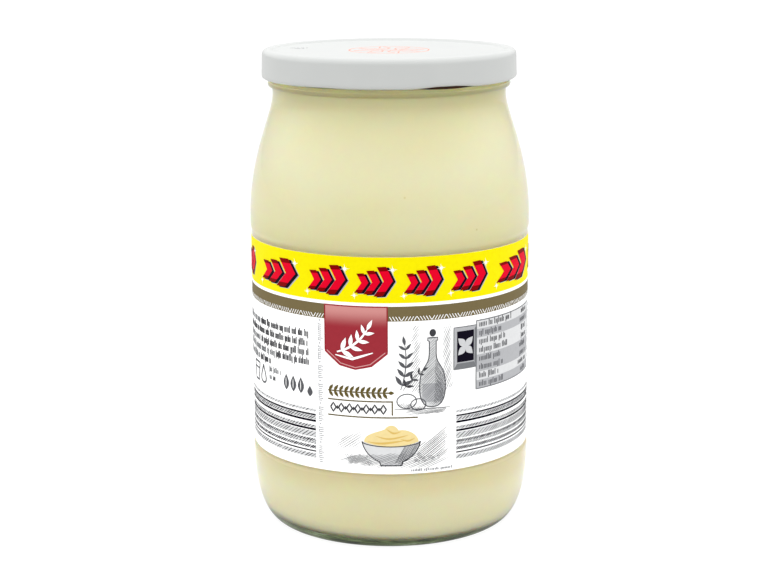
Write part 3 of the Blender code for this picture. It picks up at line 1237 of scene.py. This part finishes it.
def print_label():
    inks = make_inks()
    bands(inks)
    tab(inks)
    olive_block(inks)
    still_life(inks)
    bowl_of_cream(inks)
    side_column(inks)
    tile(inks)
    rng = random.Random(5)
    fine_print(inks["pencil"], 8.2, 22.6, 0.8, 0.9, rng)
    paragraph(inks, -68.5, -26.2, 44.3, 5, 3.15, 2.4, 7)
    drop_and_glass(inks, -61.0, 23.8)
    paragraph(inks, -47.0, -39.6, 29.0, 2, 2.7, 1.9, 8)
    grains(inks, -37.2, 27.4)
    facts_table(inks, 31.3, 26.2, 67.0, 49.2, 9)
    stripes(inks, -66.5, -24.4, 3)
    stripes(inks, 23.6, 68.5, 4)
    facts_table(inks, -143.0, 24.0, -112.0, 48.0, 10)
    paragraph(inks, -108.5, -71.5, 46.0, 9, 2.5, 1.5, 12)
    stripes(inks, -143.0, -71.5, 13)
    paragraph(inks, 72.5, 104.0, 46.0, 8, 2.6, 1.6, 14)
    upright_bars(inks, 109.0, 138.0, 26.5, 46.5, 15)
    stripes(inks, 72.5, 143.0, 16)
    for ink in inks.values():
        ink.piece()


# Lid print

def polar(radius, angle):
    return (radius * math.cos(angle), radius * math.sin(angle))


def on_lid(u, v):
    """A place on the lid's top in millimetres, raised where the panel is."""
    height = LID_TOP - LID_PANEL_DROP + LID_INK_RISE
    _, raised = lid_form(math.hypot(u, v) * MM, math.atan2(u, -v), height)
    return (u * MM, v * MM, raised)


def lid_print():
    """A faint round ornament in the middle and a small block of dots near the edge."""
    salmon = bmesh.new()
    for petal in range(8):
        angle = TURN * petal / 8 + 0.2
        for side in (-1, 1):
            edge = [polar(3.5, angle), polar(7.5, angle + side * 0.26), polar(12.0, angle + side * 0.05)]
            add_ribbon(salmon, ribbon(edge, 0.55), on_lid)
    for radius in (2.6, 13.4):
        add_ribbon(salmon, ribbon(ellipse(0.0, 0.0, radius, radius, 48, 0, 49), 0.5), on_lid)
    dots = bmesh.new()
    rng = random.Random(41)
    for row in range(2):
        for column in range(10):
            if rng.random() < 0.62:
                u = -33.5 + 0.62 * column
                v = 9.0 - 2.2 * row
                add_ribbon(dots, ribbon([(u - 0.2, v), (u + 0.2, v)], 0.9), on_lid)
    for name, shape, colour in (("lid_ornament", salmon, (226, 150, 132)), ("lid_dots", dots, (78, 72, 84))):
        thicken(shape, LID_INK_THICKNESS)
        piece = finish_mesh(name, shape)
        piece.data.materials.append(ink_material(name + "_ink", linear(*colour)))
        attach(piece, "root")


# Pieces

def build_jar():
    walls = [(outside_of_glass(), glass_form), (inside_of_glass(0.0), leaning_form)]
    glass = turned("jar_glass", walls, GLASS_SEGMENTS)
    glass.data.materials.append(glass_material())
    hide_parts("glass_jar")
    level = [(0.0, FILL_LEVEL)] + straight((0.0, FILL_LEVEL), (NECK_RADIUS - WALL, FILL_LEVEL), 4)
    level.append((NECK_RADIUS - WALL + FILLING_OVERLAP, FILL_LEVEL))
    surfaces = [(level, leaning_form), (inside_of_glass(FILLING_OVERLAP), leaning_form)]
    filling = turned("mayonnaise_filling", surfaces, GLASS_SEGMENTS)
    filling.data.materials.append(mayonnaise_material())
    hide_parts("mayonnaise")
    for piece in (glass, filling):
        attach(piece, "root")


def build_lid():
    lid = turned("twist_off_lid", [(lid_outline(), lid_form)], LID_SEGMENTS)
    lid.data.materials.append(enamel_material())
    lid.data.materials.append(gold_lacquer_material())
    inner_radius = LID_RADIUS - LID_CURL - LACQUER_INSET
    for polygon in lid.data.polygons:
        x, y, height = polygon.center
        normal = polygon.normal
        under = normal.z < -0.5 and height > LID_BOTTOM + LACQUER_UNDER_RISE
        inward = normal.x * x + normal.y * y < 0 and height < LID_TOP - LACQUER_DROP
        inside = math.hypot(x, y) < inner_radius or height > LID_BOTTOM + LACQUER_RISE
        if under or (inward and inside):
            polygon.material_index = 1
    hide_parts("lid")
    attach(lid, "root")


def build_lugs():
    """The lacquered lugs that turn in under the lid's edge and hold the glass, their dark brown the
    lacquer's colour with painted shade of the gap under the edge.
    """
    lacquer = shaded_lug_lacquer_material()
    for lug in range(LUG_COUNT):
        shape = bmesh.new()
        rings = []
        for step in range(13):
            along = step / 6 - 1
            angle = LUG_ANGLE + TURN * lug / LUG_COUNT + along * LUG_HALF_WIDTH
            reach = 1 - along ** 2
            inner = LID_RADIUS - LID_CURL - (LUG_DEPTH_MM + LUG_EXTRA_DEPTH_MM * reach) * MM
            outer = LID_RADIUS - LID_CURL - 0.05 * MM
            low = LID_BOTTOM + (0.04 + 0.3 * (1 - reach)) * MM - LUG_DROP * reach * lug_share(angle)
            high = low + (LUG_HEIGHT_MM + LUG_EXTRA_HEIGHT_MM * reach) * MM
            corners = ((inner, low), (outer, low), (outer, high), (inner, high))
            rings.append([shape.verts.new(around(radius, angle, height)) for radius, height in corners])
        add_sweep(shape, rings)
        shape.faces.new(rings[0])
        shape.faces.new(list(reversed(rings[-1])))
        bmesh.ops.recalc_face_normals(shape, faces=shape.faces)
        piece = finish_mesh("lid_lug_%d" % (lug + 1), shape)
        piece.data.materials.append(lacquer)
        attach(piece, "root")


def build_label():
    paper = label_paper()
    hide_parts("label")
    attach(paper, "root")
    print_label()


# Studio: a pale light table, even white surroundings and one large soft light overhead

TABLE_GLOW = 0.92
TABLE_REACH = 0.6
# Glow by distance from the jar's axis, low close to it: a painted shadow of the jar
TABLE_GLOWS_AND_SHADOW = ((0.034, 0.03), (0.045, 0.54), (0.064, 1.0), (0.22, 0.97), (0.42, 0.72))
SKY_GLOW = 2.1
SKY_FROM_FRONT = ((0.0, 0.74), (0.5, 1.0), (1.0, 0.66))
SKY_UPWARDS = ((0.5, 0.52), (0.64, 1.0), (1.0, 0.85))
TABLE_HALF_WIDTH = 6.0
SOFTBOX_PLACE = (0.0, 0.2, 1.3)
SOFTBOX_SIZE = 1.8
SOFTBOX_POWER = 4.0
ALL_BOUNCES = 20
OPAQUE_BOUNCES = 10
GLASS_BOUNCES = 16


def light_table_material():
    """A white table lit from inside. To all but the direct view its glow darkens under and near the jar, a
    painted shadow of the jar.
    """
    shader = Shader("pale_light_table", Roughness=0.6, Specular_IOR_Level=0.0, Emission_Color=grey(1))
    shader.link(shader.uneven(3.0, 3.0, grey(0.11), grey(0.13)), "Base Color")
    distance = shader.node("ShaderNodeVectorMath", {0: shader.place}, operation="LENGTH")
    share = shader.share(distance.outputs["Value"], 0.0, TABLE_REACH)
    glow_and_shadow = shader.ramp(share, [(place / TABLE_REACH, grey(level)) for place, level in TABLE_GLOWS_AND_SHADOW])
    seen = shader.node("ShaderNodeLightPath").outputs["Is Camera Ray"]
    shown = shader.node("ShaderNodeMapRange", {"Value": seen, "To Min": glow_and_shadow, "To Max": TABLE_GLOW})
    shader.link(shown.outputs[0], "Emission Strength")
    return shader.material


def build_world():
    """Surroundings dimmer in front, behind and along the horizon, but even in the direct view."""
    world = bpy.data.worlds.new("studio")
    bpy.context.scene.world = world
    world.use_nodes = True
    nodes = Nodes(world.node_tree)
    surroundings = nodes.tree.nodes["Background"]
    direction = nodes.node("ShaderNodeTexCoord").outputs["Generated"]
    parts = nodes.node("ShaderNodeSeparateXYZ", {"Vector": direction})
    gain = nodes.node("ShaderNodeVectorMath", operation="MULTIPLY")
    for slot, (axis, stops) in enumerate((("Y", SKY_FROM_FRONT), ("Z", SKY_UPWARDS))):
        share = nodes.share(parts.outputs[axis], -1.0, 1.0)
        tones = [(position, grey(level)) for position, level in stops]
        nodes.tree.links.new(nodes.ramp(share, tones, "EASE"), gain.inputs[slot])
    nodes.tree.links.new(gain.outputs[0], surroundings.inputs["Color"])
    surroundings.inputs["Strength"].default_value = SKY_GLOW
    backdrop = nodes.node("ShaderNodeBackground", {"Color": grey(1)}).outputs[0]
    seen = nodes.node("ShaderNodeLightPath").outputs["Is Camera Ray"]
    shown = nodes.node("ShaderNodeMixShader", {0: seen, 1: surroundings.outputs[0], 2: backdrop})
    nodes.tree.links.new(shown.outputs[0], nodes.tree.nodes["World Output"].inputs["Surface"])


def build_studio():
    floor_shape = bmesh.new()
    bmesh.ops.create_grid(floor_shape, x_segments=1, y_segments=1, size=TABLE_HALF_WIDTH)
    floor = finish_mesh("studio_floor", floor_shape)
    floor.data.materials.append(light_table_material())
    build_world()
    light = bpy.data.lights.new("overhead_softbox", "AREA")
    light.shape = "SQUARE"
    light.size = SOFTBOX_SIZE
    light.energy = SOFTBOX_POWER
    lamp = bpy.data.objects.new("overhead_softbox", light)
    lamp.location = SOFTBOX_PLACE
    lamp.rotation_euler = (-Vector(SOFTBOX_PLACE)).to_track_quat("-Z", "Y").to_euler()
    scene = bpy.context.scene
    scene.collection.objects.link(lamp)
    scene.view_settings.view_transform = "Standard"
    scene.view_settings.look = "None"
    scene.cycles.max_bounces = ALL_BOUNCES
    scene.cycles.diffuse_bounces = OPAQUE_BOUNCES
    scene.cycles.glossy_bounces = OPAQUE_BOUNCES
    scene.cycles.transmission_bounces = GLASS_BOUNCES


CAMERA_PLACE = (-1.37 * MM, -611.8 * MM, 214.5 * MM)
CAMERA_TILT = math.radians(90 - 12.3)
CAMERA_ROLL = math.radians(0.26)
FOCAL_PIXELS = 1812.0
PHOTO_WIDTH = 772
LENS_RAISE_PIXELS = 6.7
SENSOR_WIDTH = 36.0
NEAR_CLIP = 0.05
FAR_CLIP = 50.0


def build_camera():
    data = bpy.data.cameras.new("camera")
    data.sensor_width = SENSOR_WIDTH
    data.lens = FOCAL_PIXELS * SENSOR_WIDTH / PHOTO_WIDTH
    data.shift_y = -LENS_RAISE_PIXELS / PHOTO_WIDTH
    data.clip_start = NEAR_CLIP
    data.clip_end = FAR_CLIP
    camera = bpy.data.objects.new("camera", data)
    camera.location = CAMERA_PLACE
    turn = Matrix.Rotation(CAMERA_TILT, 3, "X") @ Matrix.Rotation(-CAMERA_ROLL, 3, "Z")
    camera.rotation_euler = turn.to_euler()
    bpy.context.scene.collection.objects.link(camera)
    bpy.context.scene.camera = camera


build_camera()
build_studio()
build_jar()
build_lid()
build_lugs()
lid_print()
build_label()
